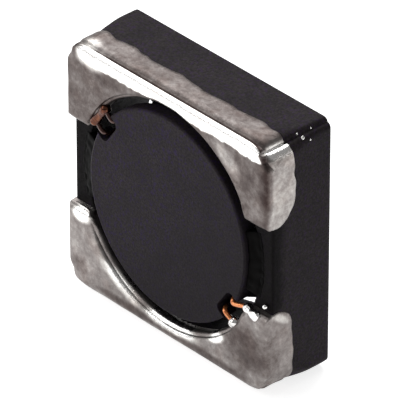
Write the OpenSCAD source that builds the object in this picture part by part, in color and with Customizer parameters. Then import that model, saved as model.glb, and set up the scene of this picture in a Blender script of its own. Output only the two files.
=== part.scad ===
// Shielded surface-mount power inductor: a drum core with its winding, glued into a square
// ferrite ring whose two raised lands are plated as the terminals.
// Each piece is built lying on its back, terminals up, with the back face at z = 0 and the
// soldering plane at z = depth. stand() then stands it on its finish-terminal side, with the
// soldering plane towards -Y.

/* [Body] */
// Side of the square body, over the plating
side = 5.8; // [5.7:0.05:6.6]
// Depth from the back face to the soldering plane
depth = 1.75; // [1.7:0.05:2.4]
// Radius of the four body corners, over the plating
corner_r = 0.25; // [0.15:0.01:0.35]
// Radius along the edges of the ferrite
edge_r = 0.06; // [0.03:0.01:0.09]

/* [Shield core] */
// Thinnest wall of the ring, in the middle of each side
ring_wall = 0.35; // [0.28:0.01:0.4]
// Width of the slot between the two lands
slot_w = 2.06; // [1.9:0.02:2.2]
// Depth of the slot below the top of the lands
slot_depth = 0.17; // [0.14:0.01:0.2]
// Radius along the land edges that face the slot
land_r = 0.12; // [0.06:0.01:0.13]
// Radius of the land tips in plan, between the slot and the bore
tip_r = 0.3; // [0.2:0.02:0.36]

/* [Terminals] */
// Thickness of the plated and tinned layer
plate_t = 0.05; // [0.03:0.005:0.06]
// How far the plating comes down the outer sides from the soldering plane
side_wrap = 0.74; // [0.6:0.02:1]
// How far the plating reaches into the bore from the soldering plane
bore_wrap = 0.34; // [0.26:0.02:0.5]
// Radius of the lower corners of the plating on the sides
wrap_r = 0.4; // [0.1:0.05:0.5]

/* [Drum core] */
// Gap between both flanges and the bore
ring_gap = 0.25; // [0.18:0.01:0.3]
// Thickness of each flange
flange_t = 0.36; // [0.3:0.02:0.42]
// Radius of the post between the flanges
post_r = 1.1; // [0.9:0.05:1.3]
// How far the front flange lies below the soldering plane
drum_drop = 0.05; // [0.03:0.01:0.08]
// Radius along the rims of the flanges
rim_r = 0.05; // [0.02:0.01:0.08]
// Width of the two lead notches in the front flange
notch_w = 0.66; // [0.6:0.02:0.76]
// Depth of the lead notches from the rim
notch_depth = 0.3; // [0.26:0.01:0.32]
// Direction of the finish-lead notch; the start-lead notch is opposite
notch_angle = -35; // [-38:1:-32]

/* [Winding] */
// Diameter of one strand over its enamel
wire_d = 0.1; // [0.08:0.005:0.11]
// How far the wound turns stay inside the innermost reach of the lead notches
coil_inset = 0.05; // [0.03:0.01:0.4]
// Gap between neighbouring turns
turn_gap = 0.006; // [0.004:0.001:0.01]
// Gap between a strand and the wall of its lead notch
lead_gap = 0.05; // [0.03:0.01:0.07]

/* [Solder and adhesive] */
// Radius of the solder beads round the strand ends
bead_r = 0.12; // [0.1:0.01:0.14]
// Length of the bead along the tip of the finish land
bead_run = 0.34; // [0.2:0.02:0.4]
// Radius of the small solder ball on the slot floor
ball_r = 0.05; // [0.03:0.005:0.07]
// Angle that each adhesive bead covers in the gap round the drum
glue_angle = 34; // [24:2:40]
// Depth of the adhesive in the gap, below the edge that it starts from
glue_depth = 0.14; // [0.1:0.01:0.15]
// Height that the front adhesive climbs on the flange above the slot floor
glue_climb = 0.09; // [0.06:0.01:0.1]
// Width that the front adhesive spreads on the slot floor
glue_spread = 0.13; // [0.08:0.01:0.18]
// Sag of the adhesive below the straight line between the edges that it joins
glue_sag = 0.01; // [0.006:0.001:0.014]

/* [Hidden] */

$fn = 64;
eps = 0.01;                                   // how far a cut runs past the face that it opens
nip = 0.002;                                  // how far an arc crosses a line that it rounds into
land_top = depth - plate_t;                   // bare ferrite under the plating
slot_floor = land_top - slot_depth;
drum_top = depth - drum_drop;
bore_r = side / 2 - plate_t - ring_wall;
flange_r = bore_r - ring_gap;                 // both flanges
notch_r = flange_r - notch_depth;             // innermost reach of a lead notch
coil_r = notch_r - coil_inset;
window_h = drum_top - 2 * flange_t;           // winding space between the flanges
turn_pitch = wire_d + turn_gap;
turns = floor((window_h - turn_gap) / turn_pitch);
tube_sides = 8;
tube_steps = 5;                               // rings between two neighbouring route points
glue_back = [45, 135, 225, 315];              // directions of the four beads at the back

wall_r = bore_r - plate_t;                    // plated part of the bore
horn_y = slot_w / 2 - plate_t;                // plated walls of the slot
horn_x = sqrt(wall_r * wall_r - horn_y * horn_y);   // where slot and bore would cross

// Each lead is two strands. A route is a list of [x, y, z] stations: out of the winding, up
// through the notch and across the gap to the plating. The last three stations of each are
// in line, so that a strand ends straight.
lead_y = notch_w / 2 - wire_d / 2 - lead_gap; // strands from the middle of the notch
lead_z = drum_top - wire_d / 2;
bead_z = depth - bead_r - nip;
bead_tilt = 8;                                // the bead on the land tip turns this far into the land

function turned(p, a) = [p[0] * cos(a) - p[1] * sin(a), p[0] * sin(a) + p[1] * cos(a), p[2]];
// In the notch's own frame, x along the notch and y across it
function notch_part(y) = [
    [coil_r - wire_d, 2 * y, flange_t + window_h / 2],
    [coil_r - wire_d / 4, 1.5 * y, drum_top - 1.5 * flange_t],
    [notch_r + wire_d, y, drum_top - flange_t],
    [notch_r + wire_d, y, lead_z - 1.6 * wire_d],
    [notch_r + 1.7 * wire_d, y, lead_z - 0.3 * wire_d]
];
function to_world(stations) = [for (p = stations) turned(p, notch_angle)];
function straight_end(a, b) = [a, (a + b) / 2, b];
// To the plated wall of the bore
function wall_end(y) = [sqrt(pow(wall_r - wire_d / 2, 2) - y * y), y, bead_z];
function wall_route(y) = to_world(concat(notch_part(y),
    straight_end([flange_r - wire_d / 2, y, lead_z], wall_end(y))));
// To the tip of the land
horn_end = [horn_x - 0.8 * wire_d, -horn_y - 0.75 * wire_d, bead_z];
function horn_route(y) = concat(to_world(notch_part(y)),
    straight_end(turned([flange_r - wire_d / 2, y, lead_z], notch_angle), horn_end));

finish_wall_route = wall_route(-lead_y);
finish_horn_route = horn_route(0.75 * lead_y);
start_routes = [wall_route(-lead_y), wall_route(lead_y)];   // half a turn round

// Smooth curve through the stations (Catmull-Rom)
function knot(p, i) = p[max(0, min(len(p) - 1, i))];
function blend(a, b, c, d, t) =
    0.5 * (2 * b + (c - a) * t + (2 * a - 5 * b + 4 * c - d) * t * t + (3 * b - a - 3 * c + d) * t * t * t);
function curve(p) = [
    for (i = [0 : len(p) - 2], s = [0 : tube_steps - 1])
        blend(knot(p, i - 1), p[i], p[i + 1], knot(p, i + 2), s / tube_steps),
    p[len(p) - 1]
];
function unit(v) = v / norm(v);
function heading(p, i) = unit(p[min(i + 1, len(p) - 1)] - p[max(i - 1, 0)]);
// Each ring's first radius is the last one's, turned square to the new heading
function normals(p, i = 0, n = undef) =
    let (h = heading(p, i), seed = is_undef(n) ? [-h[1], h[0], 0] : n, m = unit(seed - (seed * h) * h))
    i == len(p) - 1 ? [m] : concat([m], normals(p, i + 1, m));

module tube(route, d) {
    p = curve(route);
    n = normals(p);
    last = len(p) - 1;
    rings = [
        for (i = [0 : last], k = [0 : tube_sides - 1])
            let (a = 360 * k / tube_sides, side_dir = cross(heading(p, i), n[i]))
            p[i] + d / 2 * (cos(a) * n[i] + sin(a) * side_dir)
    ];
    walls = [
        for (i = [0 : last - 1], k = [0 : tube_sides - 1])
            let (a = i * tube_sides + k, b = i * tube_sides + (k + 1) % tube_sides)
            each [[a, a + tube_sides, b], [b, a + tube_sides, b + tube_sides]]
    ];
    near_end = [for (k = [0 : tube_sides - 1]) k];
    far_end = [for (k = [tube_sides - 1 : -1 : 0]) last * tube_sides + k];
    polyhedron(rings, concat(walls, [near_end, far_end]), convexity = 4);
}

module stand() {
    translate([0, depth / 2, side / 2]) rotate([90, 0, 0]) children();
}

// Square with round corners, centred
module rounded_square(w, h, r) {
    square([w - 2 * r, h], center = true);
    square([w, h - 2 * r], center = true);
    for (x = [-1, 1], y = [-1, 1]) translate([x * (w / 2 - r), y * (h / 2 - r)]) circle(r);
}

// What is left between a square corner at the origin and the arc that rounds it
module corner_cut(r) {
    difference() {
        translate([-r, -r]) square(r + eps);
        translate([-r, -r]) circle(r);
    }
}

// The ring core with both lands, grown by g towards every side but the slot floor: g = 0 is
// the bare ferrite
module core_form(g) {
    w = side - 2 * plate_t + 2 * g;
    top = land_top + g;
    half_slot = slot_w / 2 - g;
    difference() {
        translate([0, 0, -g]) linear_extrude(top + g) rounded_square(w, w, corner_r - plate_t + g);
        for (turn = [0 : 90 : 270]) rotate([90, 0, turn]) linear_extrude(2 * side, center = true) {
            translate([w / 2, top]) corner_cut(edge_r + g);
            translate([w / 2, -g]) mirror([0, 1]) corner_cut(edge_r + g);
        }
        cylinder(r = bore_r - g, h = 4 * depth, center = true);
        rotate_extrude() translate([bore_r - g, top]) mirror([1, 0]) corner_cut(edge_r + g);
        translate([0, 0, slot_floor - g]) linear_extrude(depth) slot_plan(bore_r - g, half_slot);
        for (turn = [90, -90]) rotate([90, 0, turn]) linear_extrude(2 * side, center = true)
            translate([half_slot, top]) mirror([1, 0]) corner_cut(land_r + g);
    }
}

// The slot from side to side, with the land tips rounded where it meets the bore
module slot_plan(bore, half_slot) {
    square([2 * side, 2 * half_slot], center = true);
    for (x = [0, 1], y = [0, 1]) mirror([x, 0]) mirror([0, y]) tip_cut(bore, half_slot);
}

// What rounds one land tip, by an arc that meets the slot wall and the bore
module tip_cut(bore, half_slot) {
    across = half_slot + tip_r - nip;
    centre = [sqrt(pow(bore + tip_r - nip, 2) - across * across), across];
    corner = [sqrt(bore * bore - half_slot * half_slot) - 2 * eps, half_slot - eps];
    difference() {
        polygon([corner, [centre[0], half_slot - eps], centre, centre * (bore - eps) / norm(centre)]);
        translate(centre) circle(tip_r);
    }
}

// One plated terminal: the skin between the bare ferrite and the same form grown by the plating,
// as far as the plating reaches down the sides and into the bore
module terminal() {
    edge = horn_y - eps;
    low = depth - side_wrap;
    intersection() {
        difference() {
            core_form(plate_t);
            core_form(0);
            translate([0, 0, -depth - bore_wrap]) cylinder(r = bore_r + eps, h = 2 * depth);
        }
        rotate([90, 0, 90]) linear_extrude(2 * side, center = true) union() {
            translate([edge + wrap_r, low]) square([side, depth]);
            translate([edge, low + wrap_r]) square([side, depth]);
            translate([edge + wrap_r, low + wrap_r]) circle(wrap_r);
        }
    }
}

// Straight round bar from a to b
module rod(a, b, d) {
    v = b - a;
    translate(a) rotate([0, acos(v[2] / norm(v)), atan2(v[1], v[0])]) cylinder(d = d, h = norm(v));
}

// The straight end of a strand, as the solder fits round it
module strand_end(route) {
    rod(route[len(route) - 2], route[len(route) - 1], wire_d);
}

module shield_core() {
    color("#2f2c30") stand() core_form(0);
}

module start_terminal() {
    color("#c9c6c0") stand() terminal();
}

module finish_terminal() {
    color("#c9c6c0") stand() rotate([0, 0, 180]) terminal();
}

module drum_core() {
    color("#38353a") stand() difference() {
        rotate_extrude() {
            square([post_r, drum_top]);
            for (z = [0, drum_top - flange_t]) translate([0, z]) {
                square([flange_r - rim_r, flange_t]);
                translate([0, rim_r]) square([flange_r, flange_t - 2 * rim_r]);
                for (y = [rim_r, flange_t - rim_r]) translate([flange_r - rim_r, y]) circle(rim_r);
            }
        }
        for (angle = [notch_angle, notch_angle + 180]) rotate([0, 0, angle])
            translate([notch_r, 0, drum_top - flange_t - eps]) linear_extrude(flange_t + 2 * eps)
                notch_outline();
    }
}

// A U-shaped notch, open outwards, its floor corners rounded
module notch_outline() {
    r = notch_w / 5;
    translate([r, -notch_w / 2]) square([flange_r, notch_w]);
    translate([0, r - notch_w / 2]) square([flange_r, notch_w - 2 * r]);
    for (y = [-1, 1]) translate([r, y * (notch_w / 2 - r)]) circle(r);
}

module winding() {
    margin = (window_h - turns * turn_pitch) / 2;
    color("#b5622b") stand() {
        rotate_extrude() {
            translate([post_r, flange_t + margin]) square([coil_r - wire_d / 2 - post_r, turns * turn_pitch]);
            for (i = [0 : turns - 1])
                translate([coil_r - wire_d / 2, flange_t + margin + (i + 0.5) * turn_pitch]) circle(wire_d / 2);
        }
        tube(finish_wall_route, wire_d);
        tube(finish_horn_route, wire_d);
        rotate([0, 0, 180]) for (route = start_routes) tube(route, wire_d);
    }
}

// Solder on the plated wall of the bore, in a bar along the wall from y on
module wall_solder(y, run) {
    translate(turned([sqrt(wall_r * wall_r - y * y), y, bead_z], notch_angle))
        rotate([-90, 0, notch_angle]) rotate_extrude() bar_half(bead_r, 0.8 * bead_r, run);
}

// Both strands of the start lead share one joint
module start_joint() {
    color("#d8d6d2") stand() rotate([0, 0, 180]) difference() {
        wall_solder(-lead_y, 2 * lead_y);
        core_form(plate_t);
        for (route = start_routes) strand_end(route);
    }
}

module finish_joint_wall() {
    run = 0.4 * bead_r;
    color("#d8d6d2") stand() difference() {
        wall_solder(-lead_y - run / 2, run);
        core_form(plate_t);
        strand_end(finish_wall_route);
    }
}

// The second finish strand is soldered to the tip of the land, in a bead along its edge
module finish_joint_horn() {
    color("#d8d6d2") stand() difference() {
        translate([horn_x + 0.2 * wire_d, -horn_y - 0.7 * bead_r, bead_z]) rotate([0, 90, -bead_tilt]) rotate_extrude()
            bar_half(bead_r, 0.9 * bead_r, bead_run);
        core_form(plate_t);
        strand_end(finish_horn_route);
    }
}

// Half of a bar between two beads, to be turned about its long axis
module bar_half(r, waist, run) {
    intersection() {
        union() {
            circle(r);
            translate([0, run]) circle(r);
            square([waist, run]);
        }
        translate([0, -r]) square([r, run + 2 * r]);
    }
}

module solder_ball() {
    color("#d8d6d2") stand()
        translate([side / 2 - 4 * ball_r, -horn_y + 3 * ball_r, slot_floor + ball_r]) sphere(ball_r);
}

// Circle that hangs below the line from a to b by sag
module sag_circle(a, b, sag) {
    half = norm(b - a) / 2;
    r = (half * half + sag * sag) / (2 * sag);
    translate((a + b) / 2 + [a[1] - b[1], b[0] - a[0]] / (2 * half) * (r - sag)) circle(r);
}

// Adhesive that fills the gap beside the front flange and runs out on the slot floor
module front_bead(angle) {
    rim = [flange_r, slot_floor + glue_climb];
    edge = [bore_r + glue_spread, slot_floor];
    rotate([0, 0, angle - glue_angle / 2]) rotate_extrude(angle = glue_angle) difference() {
        polygon([[flange_r, slot_floor - glue_depth], [bore_r, slot_floor - glue_depth],
            [bore_r, slot_floor], edge, rim]);
        sag_circle(rim, edge, glue_sag);
    }
}

// Adhesive in the gap at the back, sagging between the flange and the ring
module back_bead(angle) {
    base = edge_r + rim_r;
    rim = [flange_r, base + glue_depth];
    wall = [bore_r, base + glue_depth];
    rotate([0, 0, angle - glue_angle / 2]) rotate_extrude(angle = glue_angle) difference() {
        translate([flange_r, base]) square([bore_r - flange_r, glue_depth]);
        sag_circle(rim, wall, glue_sag);
    }
}

module adhesive_left() {
    color("#1b191b") stand() front_bead(180);
}

module adhesive_right() {
    color("#1b191b") stand() front_bead(0);
}

module adhesive_back(i) {
    color("#1b191b") stand() back_bead(glue_back[i]);
}

shield_core();
start_terminal();
finish_terminal();
drum_core();
winding();
start_joint();
finish_joint_wall();
finish_joint_horn();
solder_ball();
adhesive_left();
adhesive_right();
adhesive_back(0);  // adhesive_back_1
adhesive_back(1);  // adhesive_back_2
adhesive_back(2);  // adhesive_back_3
adhesive_back(3);  // adhesive_back_4
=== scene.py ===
import math

import bmesh
import bpy
from mathutils import Matrix, Vector, noise
from mathutils.bvhtree import BVHTree
from mathutils.kdtree import KDTree


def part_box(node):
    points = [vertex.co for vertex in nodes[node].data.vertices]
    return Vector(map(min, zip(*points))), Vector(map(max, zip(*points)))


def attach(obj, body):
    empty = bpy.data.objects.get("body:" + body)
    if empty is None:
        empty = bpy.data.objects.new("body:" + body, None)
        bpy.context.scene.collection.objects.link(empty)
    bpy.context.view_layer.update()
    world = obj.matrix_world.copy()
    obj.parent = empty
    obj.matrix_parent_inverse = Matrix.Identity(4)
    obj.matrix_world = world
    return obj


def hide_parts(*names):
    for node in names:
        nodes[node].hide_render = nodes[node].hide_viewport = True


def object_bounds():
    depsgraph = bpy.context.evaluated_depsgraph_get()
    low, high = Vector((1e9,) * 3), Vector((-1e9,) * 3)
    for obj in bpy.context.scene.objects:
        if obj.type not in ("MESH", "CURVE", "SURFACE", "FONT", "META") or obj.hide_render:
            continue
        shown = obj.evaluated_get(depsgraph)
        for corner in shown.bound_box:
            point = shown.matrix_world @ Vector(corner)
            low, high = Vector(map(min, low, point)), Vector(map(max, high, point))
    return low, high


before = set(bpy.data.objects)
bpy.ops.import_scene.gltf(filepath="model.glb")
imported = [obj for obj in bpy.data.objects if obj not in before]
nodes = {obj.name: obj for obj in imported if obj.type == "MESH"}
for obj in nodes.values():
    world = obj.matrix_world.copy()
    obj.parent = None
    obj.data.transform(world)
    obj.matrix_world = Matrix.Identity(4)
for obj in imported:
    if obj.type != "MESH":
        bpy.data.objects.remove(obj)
cadLow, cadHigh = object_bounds()
perMm = 1000.0  # shapes are worked out in millimetres and stored in metres

side = (cadHigh.x - cadLow.x) * perMm
depth = (cadHigh.y - cadLow.y) * perMm
middle = side / 2  # height of the block's centre
front = -depth / 2  # soldering plane
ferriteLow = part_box("shield_core")[0] * perMm
drumLow, drumHigh = (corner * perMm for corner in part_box("drum_core"))
plate = ferriteLow.y - front  # thickness of the tinned layer
flangeR = (drumHigh.x - drumLow.x) / 2
drumTop = drumLow.y  # front face of the drum


def mixBetween(a, b, t):
    return a + (b - a) * t


def smoothStep(low, high, value):
    t = min(1.0, max(0.0, (value - low) / (high - low)))
    return t * t * (3 - 2 * t)


def hill(x, y, spot):
    # 1 in the middle of a turned ellipse, 0 outside it
    cx, cy, rx, ry, turn = spot
    a = math.radians(turn)
    u = ((x - cx) * math.cos(a) + (y - cy) * math.sin(a)) / rx
    v = (-(x - cx) * math.sin(a) + (y - cy) * math.cos(a)) / ry
    return 1 - smoothStep(0.35, 1.0, math.sqrt(u * u + v * v))


# how far each rounding reaches in from the outer faces, or out from the bore
blockCorners = {"acrossFront": 0.60, "acrossBack": 0.28, "front": 0.26, "bore": 0.20}

# flange thickness, gap to the ring, depth of the lead notches, half width of the slot
drumShape = {"flange": 0.36, "gap": 0.25, "notch": 0.3, "slotHalf": 1.03}
wallR = flangeR + drumShape["gap"] - plate  # plated wall of the bore


def squareToRound(*shares):
    # factor that turns a square corner into a round one; shares run from 0 to 1 at the outer faces
    length = math.sqrt(sum(share * share for share in shares))
    return max(shares) / length if length > 1e-6 else 1.0


def roundOff(p):
    # rounds the outer corners, front edges and bore edge a little further, inside the block's box
    half = side / 2
    z = p.z - middle
    toBack = smoothStep(-0.5, 0.5, p.y)
    across = mixBetween(blockCorners["acrossFront"], blockCorners["acrossBack"], toBack)
    u = max(0.0, 1 - (half - abs(p.x)) / across)
    v = max(0.0, 1 - (half - abs(z)) / across)
    f = squareToRound(u, v)
    x = math.copysign(abs(p.x) - u * (1 - f) * across, p.x)
    z = math.copysign(abs(z) - v * (1 - f) * across, z)
    y = p.y
    if y < 0:
        reach = blockCorners["front"]
        inCorner = min(1.0, 2.5 * v)
        u = max(0.0, 1 - (half - abs(x)) / reach) * inCorner
        v = max(0.0, 1 - (half - abs(z)) / reach)
        w = max(0.0, 1 - (y - front) / reach)
        f = squareToRound(u, v, w)
        x = math.copysign(abs(x) - u * (1 - f) * reach, x)
        z = math.copysign(abs(z) - v * (1 - f) * reach, z)
        y += w * (1 - f) * reach
        reach = blockCorners["bore"] * smoothStep(1.0, 1.5, abs(z))
        r = math.hypot(x, z)
        if reach > 0.01 and r > 0.9 * wallR:
            u = min(1.0, max(0.0, 1 - (r - wallR) / reach))
            w = max(0.0, 1 - (y - front) / reach)
            f = squareToRound(u, w)
            grow = 1 + u * (1 - f) * reach / r
            x, z, y = x * grow, z * grow, y + w * (1 - f) * reach
    return Vector((x, y, middle + z))


def mergedCopy(node):
    # a CAD node as a closed bmesh in millimetres
    bm = bmesh.new()
    bm.from_mesh(nodes[node].data)
    bmesh.ops.scale(bm, vec=(perMm,) * 3, verts=bm.verts)
    bmesh.ops.remove_doubles(bm, verts=bm.verts, dist=0.0005)
    return bm


def evaluated(obj):
    made = bpy.data.meshes.new_from_object(obj.evaluated_get(bpy.context.evaluated_depsgraph_get()))
    obj.modifiers.clear()
    old = obj.data
    obj.data = made
    made.name = obj.name
    if old.users == 0 and isinstance(old, bpy.types.Mesh):
        bpy.data.meshes.remove(old)
    return obj


def remeshed(bm, name, voxel, rounds=0):
    mesh = bpy.data.meshes.new(name)
    bm.to_mesh(mesh)
    bm.free()
    obj = bpy.data.objects.new(name, mesh)
    bpy.context.scene.collection.objects.link(obj)
    remesh = obj.modifiers.new("Remesh", "REMESH")
    remesh.mode = "VOXEL"
    remesh.voxel_size = voxel
    if rounds:
        smooth = obj.modifiers.new("Smooth", "SMOOTH")
        smooth.iterations = rounds
        smooth.factor = 0.5
    return evaluated(obj)


def finished(obj, material, slot, *replaced):
    # millimetres to metres, smooth shading, material, place in the frame
    obj.data.transform(Matrix.Scale(1 / perMm, 4))
    obj.data.materials.clear()
    obj.data.materials.append(material)
    obj.data.shade_smooth()
    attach(obj, "root")
    if replaced:
        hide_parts(*replaced)
    print("made", obj.name, len(obj.data.polygons), "faces")
    return obj


class Recipe:
    # a material under construction, on Object coordinates in millimetres

    def __init__(self, name):
        self.material = bpy.data.materials.new(name)
        self.material.use_nodes = True
        self.tree = self.material.node_tree
        self.shader = self.tree.nodes["Principled BSDF"]
        coords = self.tree.nodes.new("ShaderNodeTexCoord")
        scale = self.tree.nodes.new("ShaderNodeMapping")
        scale.inputs["Scale"].default_value = (perMm,) * 3
        self.tree.links.new(coords.outputs["Object"], scale.inputs["Vector"])
        self.place = scale.outputs["Vector"]

    def put(self, kind, settings=None, **links):
        made = self.tree.nodes.new(kind)
        for key, value in (settings or {}).items():
            if hasattr(made, key):
                setattr(made, key, value)
            else:
                made.inputs[key].default_value = value
        for key, source in links.items():
            self.tree.links.new(source, made.inputs[key])
        return made

    def noise(self, scale, detail=3.0, rough=0.55, offset=(0, 0, 0)):
        shift = self.put("ShaderNodeMapping", {"Location": offset}, Vector=self.place)
        made = self.put(
            "ShaderNodeTexNoise",
            {"Scale": scale, "Detail": detail, "Roughness": rough},
            Vector=shift.outputs["Vector"],
        )
        return made.outputs[0]

    def cells(self, scale):
        made = self.put("ShaderNodeTexVoronoi", {"Scale": scale}, Vector=self.place)
        return made.outputs["Distance"]

    def math(self, operation, a, b=0.0, clamp=False):
        made = self.tree.nodes.new("ShaderNodeMath")
        made.operation = operation
        made.use_clamp = clamp
        for socket, value in zip(made.inputs, (a, b)):
            if isinstance(value, (int, float)):
                socket.default_value = value
            else:
                self.tree.links.new(value, socket)
        return made.outputs[0]

    def between(self, value, low, high, outLow=0.0, outHigh=1.0):
        made = self.put(
            "ShaderNodeMapRange",
            {
                "interpolation_type": "SMOOTHSTEP",
                "From Min": low,
                "From Max": high,
                "To Min": outLow,
                "To Max": outHigh,
            },
            Value=value,
        )
        return made.outputs["Result"]

    def ramp(self, value, stops):
        made = self.put("ShaderNodeValToRGB", Fac=value)
        ramp = made.color_ramp
        while len(ramp.elements) < len(stops):
            ramp.elements.new(0.5)
        for element, (spot, colour) in zip(ramp.elements, stops):
            element.position = spot
            element.color = (*colour, 1)
        return made.outputs["Color"]

    def blend(self, amount, a, b, mode="MIX"):
        made = self.tree.nodes.new("ShaderNodeMix")
        made.data_type = "RGBA"
        made.blend_type = mode
        for socket, value in ((made.inputs[0], amount), (made.inputs[6], a), (made.inputs[7], b)):
            if isinstance(value, tuple):
                socket.default_value = (*value, 1)
            elif isinstance(value, (int, float)):
                socket.default_value = value
            else:
                self.tree.links.new(value, socket)
        return made.outputs[2]

    def bump(self, height, size, strength=1.0, under=None):
        # size is the relief in millimetres
        made = self.put("ShaderNodeBump", {"Strength": strength, "Distance": size / perMm}, Height=height)
        if under is not None:
            self.tree.links.new(under, made.inputs["Normal"])
        return made.outputs["Normal"]

    def finish(self, colour, rough, normal, **fixed):
        for key, source in (("Base Color", colour), ("Roughness", rough), ("Normal", normal)):
            if isinstance(source, (int, float)):
                self.shader.inputs[key].default_value = source
            else:
                self.tree.links.new(source, self.shader.inputs[key])
        for key, value in fixed.items():
            self.shader.inputs[key.replace("_", " ")].default_value = value
        return self.material


ferriteLook = {
    "shield": {"dark": (0.010, 0.0085, 0.010), "light": (0.037, 0.029, 0.030), "tint": (0.034, 0.018, 0.050)},
    "drum": {"dark": (0.016, 0.013, 0.016), "light": (0.047, 0.038, 0.042), "tint": (0.034, 0.020, 0.072)},
    "grain": 22.0,
    "relief": 0.006,
    "roughness": 0.62,
    "specular": 0.10,
}


def ferriteMaterial(name, which, slotFloorZone):
    look = ferriteLook
    tone = look[which]
    r = Recipe(name)
    grain = r.noise(look["grain"], 6.0, 0.7)
    cloud = r.noise(1.6, 3.0, 0.5, (3, 1, 7))
    speck = r.noise(13.0, 2.0, 0.6, (9, 4, 2))
    colour = r.ramp(grain, [(0.30, tone["dark"]), (0.72, tone["light"])])
    colour = r.blend(r.between(speck, 0.50, 0.68, 0.0, 0.8), colour, tone["tint"])
    colour = r.blend(r.between(cloud, 0.35, 0.7, 0.0, 0.35), colour, tone["dark"])
    rough = r.between(grain, 0.3, 0.7, look["roughness"] + 0.08, look["roughness"] - 0.08)
    if which == "drum":
        # the drum face gets darker towards the lower right
        split = r.put("ShaderNodeSeparateXYZ", Vector=r.place)
        slope = r.math("SUBTRACT", split.outputs["X"], split.outputs["Z"])
        darkerLowerRight = r.between(r.math("ADD", slope, r.math("MULTIPLY", cloud, 1.5)), -4.5, 0.6, 0.0, 0.70)
        colour = r.blend(darkerLowerRight, colour, tone["dark"])
    if slotFloorZone:
        # darker on the slot floors beside the bore and on the front of the side faces, at mid height
        split = r.put("ShaderNodeSeparateXYZ", Vector=r.place)
        edge = r.noise(2.4, 2.0, 0.5, (1, 8, 3))
        reach = r.math("ABSOLUTE", r.math("SUBTRACT", split.outputs["Z"], slotFloorZone["height"]))
        half, back = slotFloorZone["half"], slotFloorZone["back"]
        ragged = r.math("ADD", reach, r.math("MULTIPLY", edge, 0.3))
        inSlot = r.between(ragged, half, half + 0.25, 1.0, 0.0)
        ragged = r.math("ADD", split.outputs["Y"], r.math("MULTIPLY", edge, 0.25))
        forward = r.between(ragged, back, back + 0.3, 1.0, 0.0)
        slotFloorDark = r.math("MULTIPLY", inSlot, forward)
        colour = r.blend(r.math("MULTIPLY", slotFloorDark, 0.85), colour, (0.003, 0.0026, 0.0026))
        rough = r.math("ADD", rough, r.math("MULTIPLY", slotFloorDark, 0.15))
    fine = r.noise(60.0, 3.0, 0.6, (2, 2, 5))
    pits = r.between(r.cells(7.0), 0.05, 0.22, 0.0, 1.0)
    normal = r.bump(pits, look["relief"] * 0.5, 0.5)
    normal = r.bump(grain, look["relief"], 0.9, normal)
    normal = r.bump(fine, look["relief"] * 0.4, 0.8, normal)
    return r.finish(colour, rough, normal, Specular_IOR_Level=look["specular"])


tinLook = {
    "stops": [
        (0.00, (0.050, 0.036, 0.034)),
        (0.22, (0.130, 0.108, 0.102)),
        (0.45, (0.270, 0.245, 0.235)),
        (0.70, (0.520, 0.500, 0.475)),
        (0.92, (0.960, 0.945, 0.925)),
    ],
    "mottle": 0.50,
    "roughDull": 0.46,
    "roughBright": 0.22,
}


def tinMaterial():
    look = tinLook
    r = Recipe("tinning")
    # tone carries painted light: painted shade per face, painted highlights and painted shade in spots
    tone = r.put("ShaderNodeAttribute", {"attribute_name": "tone"}).outputs["Fac"]
    broad = r.noise(3.2, 4.0, 0.6, (5, 2, 1))
    patch = r.noise(9.0, 4.0, 0.65, (1, 6, 3))
    fine = r.noise(42.0, 3.0, 0.6, (7, 7, 1))
    small = r.math("ADD", r.math("MULTIPLY", patch, 0.4), r.math("MULTIPLY", fine, 0.15))
    swirl = r.math("ADD", r.math("MULTIPLY", broad, 0.45), small)
    mottle = r.math("MULTIPLY", r.math("SUBTRACT", swirl, 0.5), look["mottle"] * 2)
    shade = r.math("ADD", tone, mottle, True)
    colour = r.ramp(shade, look["stops"])
    warm = r.between(r.noise(2.1, 2.0, 0.5, (4, 9, 9)), 0.45, 0.7, 0.0, 0.30)
    colour = r.blend(warm, colour, (1.0, 0.86, 0.80), "MULTIPLY")
    rough = r.between(shade, 0.3, 0.9, look["roughDull"], look["roughBright"])
    normal = r.bump(patch, 0.012, 0.8)
    normal = r.bump(fine, 0.0025, 0.8, normal)
    return r.finish(colour, rough, normal, Metallic=1.0)


def solderMaterial():
    r = Recipe("solder")
    tone = r.noise(14.0, 3.0, 0.55)
    colour = r.ramp(tone, [(0.25, (0.62, 0.60, 0.58)), (0.55, (0.93, 0.92, 0.90))])
    split = r.put("ShaderNodeSeparateXYZ", Vector=r.place)
    # the upper joint is darker brown: partly flux, partly painted shade
    above = r.between(split.outputs["Z"], middle, middle + 0.2)
    fluxAndShade = r.math("MULTIPLY", above, r.between(split.outputs["X"], 0.5, 0.0))
    fluxAndShadeColour = r.blend(r.between(tone, 0.3, 0.6, 0.6, 1.0), (0.30, 0.12, 0.06), (0.075, 0.03, 0.022))
    colour = r.blend(fluxAndShade, colour, fluxAndShadeColour)
    normal = r.bump(tone, 0.006, 0.7)
    rough = r.between(tone, 0.3, 0.7, 0.24, 0.12)
    return r.finish(colour, rough, normal, Metallic=1.0)


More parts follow.
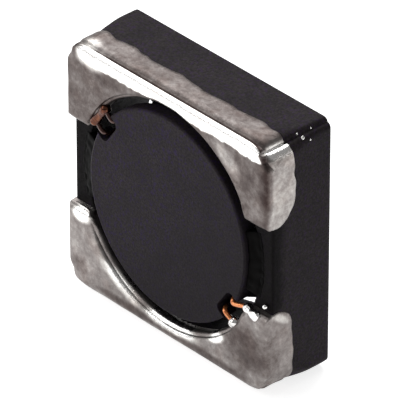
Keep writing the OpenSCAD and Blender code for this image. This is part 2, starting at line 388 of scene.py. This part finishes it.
def wireMaterial():
    r = Recipe("enamelledCopper")
    tone = r.noise(18.0, 3.0, 0.6)
    colour = r.ramp(tone, [(0.3, (0.62, 0.16, 0.035)), (0.7, (0.92, 0.36, 0.13))])
    split = r.put("ShaderNodeSeparateXYZ", Vector=r.place)
    # the strands by the upper terminal are darker brown: partly flux, partly painted shade
    fluxAndShade = r.between(split.outputs["Z"], middle, middle + 0.2)
    colour = r.blend(fluxAndShade, colour, (0.060, 0.020, 0.013))
    # painted shade: the strands darken where they lie deeper than the drum's front face, in the notches
    notchShade = r.between(split.outputs["Y"], drumTop + 0.03, drumTop + 0.16)
    colour = r.blend(notchShade, colour, (0.050, 0.016, 0.009))
    normal = r.bump(tone, 0.004, 0.5)
    rough = r.between(tone, 0.3, 0.7, 0.30, 0.20)
    return r.finish(colour, rough, normal, Metallic=0.75, Coat_Weight=0.6, Coat_Roughness=0.15)


def resinMaterial():
    r = Recipe("resin")
    tone = r.noise(6.0, 3.0, 0.6)
    colour = r.ramp(tone, [(0.3, (0.0014, 0.0012, 0.0012)), (0.75, (0.0032, 0.0027, 0.0027))])
    normal = r.bump(tone, 0.01, 0.5)
    return r.finish(colour, r.between(tone, 0.3, 0.7, 0.45, 0.60), normal, Specular_IOR_Level=0.03)


tin = tinMaterial()
solder = solderMaterial()
wire = wireMaterial()
resin = resinMaterial()
slotFloorZone = {"height": middle, "half": 1.0, "back": -0.42}
shieldFerrite = ferriteMaterial("shieldFerrite", "shield", slotFloorZone)
drumFerrite = ferriteMaterial("drumFerrite", "drum", None)
print("materials ready")

nodes["drum_core"].data.materials.clear()
nodes["drum_core"].data.materials.append(drumFerrite)

ringShape = {"voxel": 0.034, "rounds": 1}
ring = remeshed(mergedCopy("shield_core"), "ferriteRing", ringShape["voxel"], ringShape["rounds"])
for v in ring.data.vertices:
    v.co = roundOff(v.co)
finished(ring, shieldFerrite, "ferrite", "shield_core")


terminalShape = {
    "voxel": 0.0185,
    "rim": 0.13,  # width over which the tin thins towards its own edge
    "thin": 0.75,  # tin left over the sharp outer edges
    "edgeFall": 0.30,  # distance from an outer edge over which the tin gets its full thickness
    "sink": 0.012,  # how far the inner side lies in the ferrite
    "faceBand": 0.12,  # depth over which a face's own tone fades out
}

# tone: 0 is dark and brown, 0.45 dull grey, 0.9 bright tin. Much of it is painted light: each face's tone is
# painted shade for how that face meets the light, spots above zero are painted highlights, spots below zero
# painted shade, and the strip is a painted highlight with a painted dark reflection line.
# Spots lie on the front (x, z from the middle) or on the right side (y, z).
startLook = {
    "sideBulge": {"height": 2.0, "reach": 0.75, "amount": 0.15},
    "wave": 0.05,
    "rear": -0.085,
    # front, side, top: painted shade, each face lighter or darker by how it faces the light
    "front": 0.23,
    "side": 0.52,
    "top": 0.28,
    # front spots: painted highlights where the amount is positive, painted shade where it is negative
    "frontSpots": [
        ((-2.20, 2.66, 0.62, 0.34, -8), 0.85),
        ((-1.75, 2.72, 0.40, 0.20, -12), 0.50),
        ((1.75, 2.20, 0.62, 0.26, -38), 0.24),
        ((2.35, 1.95, 0.30, 0.30, 0), -0.12),
        ((-1.7, 2.35, 0.45, 0.20, 0), -0.06),
        ((2.6, 1.45, 0.35, 0.30, 0), 0.12),
    ],
    # side spots: a painted highlight (positive) and a painted shade band (negative)
    "sideSpots": [((-0.42, 2.74, 0.50, 0.28, -8), 0.7), ((-0.80, 2.0, 0.14, 1.1, 0), -0.25)],
    # strip: a painted highlight along the top front edge, with a painted dark reflection line above it
    "strip": {"from": -2.2, "to": 2.80, "low": 0.37, "high": 0.055, "amount": 1.05},
}
finishLook = {
    "sideBulge": {"height": -2.7, "reach": 1.2, "amount": 0.04},
    "wave": 0.03,
    "rear": -0.03,
    # front, side, top: painted shade, each face lighter or darker by how it faces the light
    "front": 0.42,
    "side": 0.38,
    "top": 0.22,
    # front spots: painted highlights where the amount is positive, painted shade where it is negative
    "frontSpots": [
        ((-2.48, -1.13, 0.34, 0.22, 0), 0.75),
        ((0.10, -2.47, 1.00, 0.20, 2), 0.80),
        ((-1.35, -2.18, 0.85, 0.20, -28), 0.42),
        ((1.45, -2.10, 0.34, 0.15, 24), 0.70),
        ((2.3, -1.95, 0.85, 0.75, 0), -0.24),
        ((-2.55, -2.35, 0.35, 0.30, 0), -0.14),
        ((-0.9, -2.62, 1.6, 0.16, 0), -0.26),
        ((1.4, -2.68, 1.5, 0.18, 0), -0.26),
    ],
    # side spot: a painted highlight
    "sideSpots": [((-0.50, -1.10, 0.40, 0.12, -35), 0.22)],
    "strip": None,
}


def tinPiece(name, node, look, upward, seed):
    shape = terminalShape
    obj = remeshed(mergedCopy(node), name, shape["voxel"])
    vertices = obj.data.vertices
    core = BVHTree.FromBMesh(coreMesh)
    near = [core.find_nearest(v.co) for v in vertices]
    height = [hit[3] / plate for hit in near]
    rim = [i for i, h in enumerate(height) if 0.3 < h < 0.7]
    tree = KDTree(len(rim))
    for spot, i in enumerate(rim):
        tree.insert(vertices[i].co, spot)
    tree.balance()
    tone = []
    half = side / 2
    for i, v in enumerate(vertices):
        p = v.co.copy()
        place, facing, _, gap = near[i]
        z = p.z - middle
        outward = z * upward  # distance from the middle towards this terminal's outer side
        # thickness
        if height[i] > 0.5:
            far = min(1.0, tree.find(p)[2] / shape["rim"])
            dome = math.sqrt(max(0.0, 1 - (1 - far) ** 2))
            toFront = p.y - front
            toTop = half - outward
            toSide = half - abs(p.x)
            edge = sorted((toFront, toTop, toSide))[1]  # small only along an outer edge
            pull = mixBetween(shape["thin"], 1.0, smoothStep(0.02, shape["edgeFall"], edge))
            lump = 0.88 + 0.24 * noise.noise(p * 2.2 + Vector((seed, 0, 0)))
            share = max(0.03, min(1.0, dome * pull * lump))
            p = place + (p - place) * share
        else:
            p = place - (facing * shape["sink"] if height[i] < 0.3 else Vector())
        # the tin's own edge wanders on the outer sides
        if p.y > front + 0.3:
            grip = smoothStep(front + 0.3, front + 0.62, p.y)
            wander = look["rear"] + look["wave"] * 2 * noise.noise(Vector((p.x * 1.3, z * 1.3, seed)))
            wander += look["wave"] * noise.noise(Vector((p.x * 4.0, z * 4.0, seed + 5)))
            if abs(p.x) > half - plate * 1.5 and look["sideBulge"]["amount"]:
                bulge = look["sideBulge"]
                wander += bulge["amount"] * math.exp(-(((z - bulge["height"]) / bulge["reach"]) ** 2))
            p.y += grip * wander
        v.co = roundOff(p)
        # tone, mostly painted light: painted shade per face, painted highlights and painted shade from the
        # spots
        onFront, onSide, onTop = (
            smoothStep(shape["faceBand"], 0.03, away) if away < shape["faceBand"] else 0.0
            for away in (p.y - front, half - abs(p.x), half - outward)
        )
        value = look["front"] * onFront + look["side"] * onSide * (1 - onFront)
        value += look["top"] * onTop * (1 - onFront) * (1 - onSide)
        value += look["front"] * (1 - max(onFront, onSide, onTop))
        for spot, amount in look["frontSpots"]:
            value += amount * hill(p.x, z, spot) * smoothStep(0.42, 0.25, p.y - front)
        if p.x > half - 0.3:
            for spot, amount in look["sideSpots"]:
                value += amount * hill(p.y, z, spot) * smoothStep(half - 0.3, half - 0.06, p.x)
        strip = look["strip"]
        if strip and strip["from"] < p.x < strip["to"]:
            # a painted highlight strip along the outer front edge, with a painted dark reflection line above
            # it
            low, high = strip["low"], strip["high"]
            wobble = 0.05 * noise.noise(Vector((p.x * 2.5, 0, seed)))
            wobble += 0.03 * noise.noise(Vector((p.x * 9, 3, seed)))
            below = half - outward
            ends = smoothStep(strip["from"], strip["from"] + 0.15, p.x)
            ends *= smoothStep(strip["to"], strip["to"] - 0.06, p.x)
            bright = strip["amount"] * ends * smoothStep(high - 0.03, high + 0.02, below)
            bright *= smoothStep(low + 0.05 + wobble, low - 0.02 + wobble, below)
            value += bright * smoothStep(0.30, 0.10, p.y - front)
            value -= 0.45 * ends * smoothStep(high, high - 0.03, below) * smoothStep(0.085, 0.04, p.y - front)
        tone.append(max(0.0, min(1.35, value)))
    layer = obj.data.attributes.new("tone", "FLOAT", "POINT")
    layer.data.foreach_set("value", tone)
    finished(obj, tin, "plating", node)


speckShape = {
    "places": [(2.84, 0.15, 5.66), (2.80, 0.42, 5.70), (2.86, 0.30, 5.52), (2.78, 0.08, 5.72)],
    "sizes": (0.034, 0.022, 0.018, 0.020),
}


def edgeHighlightSpecks():
    # bright solder-coloured specks on the ferrite's top right edge beside the upper terminal: a painted
    # highlight on that edge
    bm = bmesh.new()
    bm.from_mesh(ring.data)
    ringTree = BVHTree.FromBMesh(bm)
    bm.free()
    bm = bmesh.new()
    for index, (place, size) in enumerate(zip(speckShape["places"], speckShape["sizes"])):
        spot = ringTree.find_nearest(Vector(place) / perMm)[0] * perMm
        made = bmesh.ops.create_icosphere(bm, subdivisions=3, radius=size)["verts"]
        for v in made:
            v.co *= 1 + 0.5 * noise.noise(v.co * 30 + Vector((index, 0, 0)))
            v.co += spot
            v.co.x, v.co.z = min(v.co.x, side / 2), min(v.co.z, side)
    mesh = bpy.data.meshes.new("edgeHighlightSpecks")
    bm.to_mesh(mesh)
    bm.free()
    obj = bpy.data.objects.new("edgeHighlightSpecks", mesh)
    bpy.context.scene.collection.objects.link(obj)
    finished(obj, solder, "solder")


edgeHighlightSpecks()
coreMesh = mergedCopy("shield_core")
tinPiece("startTinning", "start_terminal", startLook, 1, 11.0)
tinPiece("finishTinning", "finish_terminal", finishLook, -1, 47.0)


beadShape = {"radius": 0.105, "voxel": 0.009, "rounds": 5, "lump": 0.018}


def beadPiece(name, node, seed):
    # a run of molten drops along the joint's length, melted together
    shape = beadShape
    bm = mergedCopy(node)
    points = [v.co.copy() for v in bm.verts]
    bm.free()
    centre = sum(points, Vector()) / len(points)
    a = max(points, key=lambda q: (q - centre).length)
    b = max(points, key=lambda q: (q - a).length)
    radius = min(shape["radius"], (b - a).length / 2)
    along = (b - a).normalized()
    first, last = a + along * radius, b - along * radius
    drops = max(1, int((last - first).length / (0.5 * radius)) + 1)
    bm = bmesh.new()
    for i in range(drops):
        t = i / max(1, drops - 1)
        spot = mixBetween(first, last, t)
        waist = 1 + 0.12 * math.cos(2 * math.pi * t)
        size = radius * waist * (0.97 + 0.10 * noise.noise(Vector((seed, i, 0))))
        for v in bmesh.ops.create_icosphere(bm, subdivisions=3, radius=size)["verts"]:
            v.co += spot
    obj = remeshed(bm, name, shape["voxel"], shape["rounds"])
    for v in obj.data.vertices:
        v.co += v.normal * shape["lump"] * noise.noise(v.co * 6 + Vector((seed, 0, 0)))
        v.co.y = max(v.co.y, front + 0.001)
    return finished(obj, solder, "solder", node)


beads = (
    ("startSolder", "start_joint"),
    ("finishSolderWall", "finish_joint_wall"),
    ("finishSolderTip", "finish_joint_horn"),
    ("solderBall", "solder_ball"),
)
for index, (name, node) in enumerate(beads):
    beadPiece(name, node, 3.0 * index)


resinShape = {"voxel": 0.016, "rounds": 14, "lump": 0.02}


def resinPiece(name, node, seed):
    obj = remeshed(mergedCopy(node), name, resinShape["voxel"], resinShape["rounds"])
    for v in obj.data.vertices:
        v.co += v.normal * resinShape["lump"] * noise.noise(v.co * 6 + Vector((seed, 0, 0)))
    return finished(obj, resin, "adhesive", node)


for index, spot in enumerate(("left", "right", "back_1", "back_2", "back_3", "back_4")):
    resinPiece("resin" + spot.title().replace("_", ""), "adhesive_" + spot, 5.0 * index)


windingShape = {
    "wire": 0.10,
    "pitch": 0.106,
    "outer": 1.90,
    "notchAngle": -35.0,
    "leadHalf": 0.23,
    "bead": 0.122,
    "tubeSides": 14,
    "coilSides": 10,
    "stepsPerTurn": 48,
    "clear": 0.07,  # between the end turns and the flanges
}


def toFrame(x, y, z):
    # from lying on its back, terminals up, to standing
    return Vector((x, depth / 2 - z, middle + y))


def turned(p, degrees):
    a = math.radians(degrees)
    x, y, z = p
    return (x * math.cos(a) - y * math.sin(a), x * math.sin(a) + y * math.cos(a), z)


def curveThrough(stations, steps=8):
    # Catmull-Rom through the stations
    points = []
    count = len(stations)
    for i in range(count - 1):
        a, b, c, d = (Vector(stations[max(0, min(count - 1, i + k))]) for k in (-1, 0, 1, 2))
        for s in range(steps):
            t = s / steps
            square, cube = 2 * a - 5 * b + 4 * c - d, 3 * b - a - 3 * c + d
            points.append(0.5 * (2 * b + (c - a) * t + square * t * t + cube * t ** 3))
    points.append(Vector(stations[-1]))
    return points


def tubeTree():
    tree = bpy.data.node_groups.new("tubeAlongCurve", "GeometryNodeTree")
    tree.interface.new_socket("Geometry", in_out="INPUT", socket_type="NodeSocketGeometry")
    for label, kind in (("Radius", "Float"), ("Sides", "Int"), ("Material", "Material")):
        tree.interface.new_socket(label, in_out="INPUT", socket_type="NodeSocket" + kind)
    tree.interface.new_socket("Geometry", in_out="OUTPUT", socket_type="NodeSocketGeometry")
    add, link = tree.nodes.new, tree.links.new
    start, end = add("NodeGroupInput"), add("NodeGroupOutput")
    toMesh, circle = add("GeometryNodeCurveToMesh"), add("GeometryNodeCurvePrimitiveCircle")
    toMesh.inputs["Fill Caps"].default_value = True
    real, paint = add("GeometryNodeRealizeInstances"), add("GeometryNodeSetMaterial")
    link(start.outputs["Geometry"], toMesh.inputs["Curve"])
    link(start.outputs["Radius"], circle.inputs["Radius"])
    link(start.outputs["Sides"], circle.inputs["Resolution"])
    link(circle.outputs["Curve"], toMesh.inputs["Profile Curve"])
    link(toMesh.outputs["Mesh"], real.inputs["Geometry"])
    link(real.outputs["Geometry"], paint.inputs["Geometry"])
    link(start.outputs["Material"], paint.inputs["Material"])
    link(paint.outputs["Geometry"], end.inputs["Geometry"])
    return tree


tubes = tubeTree()


def tubePiece(name, routes, radius, sides, material):
    curve = bpy.data.curves.new(name, "CURVE")
    curve.dimensions = "3D"
    for route in routes:
        spline = curve.splines.new("POLY")
        spline.points.add(len(route) - 1)
        for point, p in zip(spline.points, route):
            point.co = (*p, 1)
    obj = bpy.data.objects.new(name, curve)
    bpy.context.scene.collection.objects.link(obj)
    modifier = obj.modifiers.new("Tube", "NODES")
    modifier.node_group = tubes
    values = {"Radius": radius, "Sides": sides, "Material": material}
    for item in tubes.interface.items_tree:
        if item.item_type == "SOCKET" and item.in_out == "INPUT" and item.name in values:
            modifier[item.identifier] = values[item.name]
    mesh = bpy.data.meshes.new_from_object(obj.evaluated_get(bpy.context.evaluated_depsgraph_get()))
    bpy.data.objects.remove(obj)
    bpy.data.curves.remove(curve)
    made = bpy.data.objects.new(name, mesh)
    bpy.context.scene.collection.objects.link(made)
    return made


def strandRoutes():
    shape = windingShape
    d = shape["wire"]
    top = depth / 2 - drumTop  # front of the drum, measured from the back face
    flange = drumShape["flange"]
    notchR = flangeR - drumShape["notch"]
    hornY = drumShape["slotHalf"] - plate
    hornX = math.sqrt(wallR ** 2 - hornY ** 2)
    leadZ = top - d / 2
    beadZ = depth - shape["bead"]
    coilR = shape["outer"]

    def inNotch(y):
        return [
            (coilR - d, 2 * y, 0.5 * top),
            (coilR - d / 4, 1.5 * y, top - 1.5 * flange),
            (notchR + d, y, top - flange),
            (notchR + d, y, leadZ - 1.6 * d),
            (notchR + 1.7 * d, y, leadZ - 0.3 * d),
        ]

    def overRim(y):
        return inNotch(y) + [(flangeR - d / 2, y, leadZ)]

    def wall(y):
        end = (math.sqrt((wallR - d / 2) ** 2 - y * y), y, beadZ)
        return [turned(p, shape["notchAngle"]) for p in overRim(y) + [end]]

    def tip(y):
        last = (hornX - 0.8 * d, -hornY - 0.75 * d, beadZ)
        return [turned(p, shape["notchAngle"]) for p in overRim(y)] + [last]

    y = shape["leadHalf"]
    start = [[turned(p, 180) for p in wall(s * y)] for s in (-1, 1)]
    routes = [wall(-y), tip(0.75 * y)] + start
    return [[toFrame(*p) for p in curveThrough(route)] for route in routes]


def coilRoute():
    shape = windingShape
    d, pitch = shape["wire"], shape["pitch"]
    top = depth / 2 - drumTop
    flange, clear = drumShape["flange"], shape["clear"]
    low, high = flange + clear, top - flange - clear
    turns = (high - low) / pitch
    points = []
    steps = int(turns * shape["stepsPerTurn"])
    for i in range(steps + 1):
        a = 2 * math.pi * turns * i / steps
        r = shape["outer"] - d / 2
        points.append(toFrame(r * math.cos(a), r * math.sin(a), low + (high - low) * i / steps))
    return points


wireR = windingShape["wire"] / 2
strands = tubePiece("leadStrands", strandRoutes(), wireR, windingShape["tubeSides"], wire)
coil = tubePiece("coilTurns", [coilRoute()], wireR, windingShape["coilSides"], wire)
finished(coil, wire, "wire", "winding")
finished(strands, wire, "wire", "winding")


studio = {
    "floor": 0.8,
    "floorShown": 0.78,
    "world": 0.25,
    "lamps": [
        # name, direction from the block, distance, width, height, radiance
        ("key", (-0.60, -0.72, 0.50), 0.09, 0.060, 0.050, 2.2),
        ("overhead", (-0.45, 0.35, 0.85), 0.10, 0.10, 0.10, 2.9),
    ],
}
viewing = {"azimuth": 47.6, "elevation": 32.85, "distance": 0.13, "lens": 600.0, "right": 0.043, "up": 0.021}


def makeFloor():
    bm = bmesh.new()
    bmesh.ops.create_grid(bm, x_segments=1, y_segments=1, size=0.6)
    mesh = bpy.data.meshes.new("floor")
    bm.to_mesh(mesh)
    bm.free()
    floor = bpy.data.objects.new("floor", mesh)
    bpy.context.scene.collection.objects.link(floor)
    material = bpy.data.materials.new("paleFloor")
    material.use_nodes = True
    tree = material.node_tree
    tree.nodes.clear()
    out = tree.nodes.new("ShaderNodeOutputMaterial")
    paint = tree.nodes.new("ShaderNodeBsdfDiffuse")
    glow = tree.nodes.new("ShaderNodeEmission")
    both = tree.nodes.new("ShaderNodeAddShader")
    light = tree.nodes.new("ShaderNodeLightPath")
    seen = tree.nodes.new("ShaderNodeMath")
    seen.operation = "ADD"
    tree.links.new(light.outputs["Is Camera Ray"], seen.inputs[0])
    tree.links.new(light.outputs["Is Glossy Ray"], seen.inputs[1])
    more = tree.nodes.new("ShaderNodeMath")
    more.operation = "ADD"
    more.use_clamp = True
    tree.links.new(seen.outputs[0], more.inputs[0])
    tree.links.new(light.outputs["Is Transmission Ray"], more.inputs[1])
    scale = tree.nodes.new("ShaderNodeMath")
    scale.operation = "MULTIPLY"
    scale.inputs[1].default_value = studio["floorShown"]
    tree.links.new(more.outputs[0], scale.inputs[0])
    tree.links.new(scale.outputs[0], glow.inputs["Strength"])
    paint.inputs["Color"].default_value = (studio["floor"],) * 3 + (1,)
    tree.links.new(paint.outputs[0], both.inputs[0])
    tree.links.new(glow.outputs[0], both.inputs[1])
    tree.links.new(both.outputs[0], out.inputs["Surface"])
    mesh.materials.append(material)


def makeLights():
    world = bpy.data.worlds.new("studio")
    bpy.context.scene.world = world
    world.use_nodes = True
    world.node_tree.nodes["Background"].inputs["Color"].default_value = (1, 1, 1, 1)
    world.node_tree.nodes["Background"].inputs["Strength"].default_value = studio["world"]
    centre = Vector((0, 0, middle)) / perMm
    for name, direction, distance, width, height, radiance in studio["lamps"]:
        data = bpy.data.lights.new(name, "AREA")
        data.shape = "RECTANGLE"
        data.size, data.size_y = width, height
        data.energy = radiance * math.pi * width * height
        lamp = bpy.data.objects.new(name, data)
        bpy.context.scene.collection.objects.link(lamp)
        away = Vector(direction).normalized()
        lamp.location = centre + away * distance
        lamp.rotation_mode = "QUATERNION"
        lamp.rotation_quaternion = away.to_track_quat("Z", "Y")


def makeCamera():
    a, e = math.radians(viewing["azimuth"]), math.radians(viewing["elevation"])
    back = Vector((math.sin(a) * math.cos(e), -math.cos(a) * math.cos(e), math.sin(e)))
    right = Vector((math.cos(a), math.sin(a), 0))
    up = back.cross(right)
    target = Vector((0, 0, middle)) / perMm + (right * viewing["right"] + up * viewing["up"]) / perMm
    data = bpy.data.cameras.new("camera")
    data.lens = viewing["lens"]
    data.sensor_width = 36
    data.clip_start, data.clip_end = 0.01, 10
    camera = bpy.data.objects.new("camera", data)
    bpy.context.scene.collection.objects.link(camera)
    camera.location = target + back * viewing["distance"]
    camera.rotation_mode = "QUATERNION"
    camera.rotation_quaternion = back.to_track_quat("Z", "Y")
    bpy.context.scene.camera = camera


makeFloor()
makeLights()
makeCamera()
bpy.context.scene.view_settings.view_transform = "Standard"
print("studio ready")
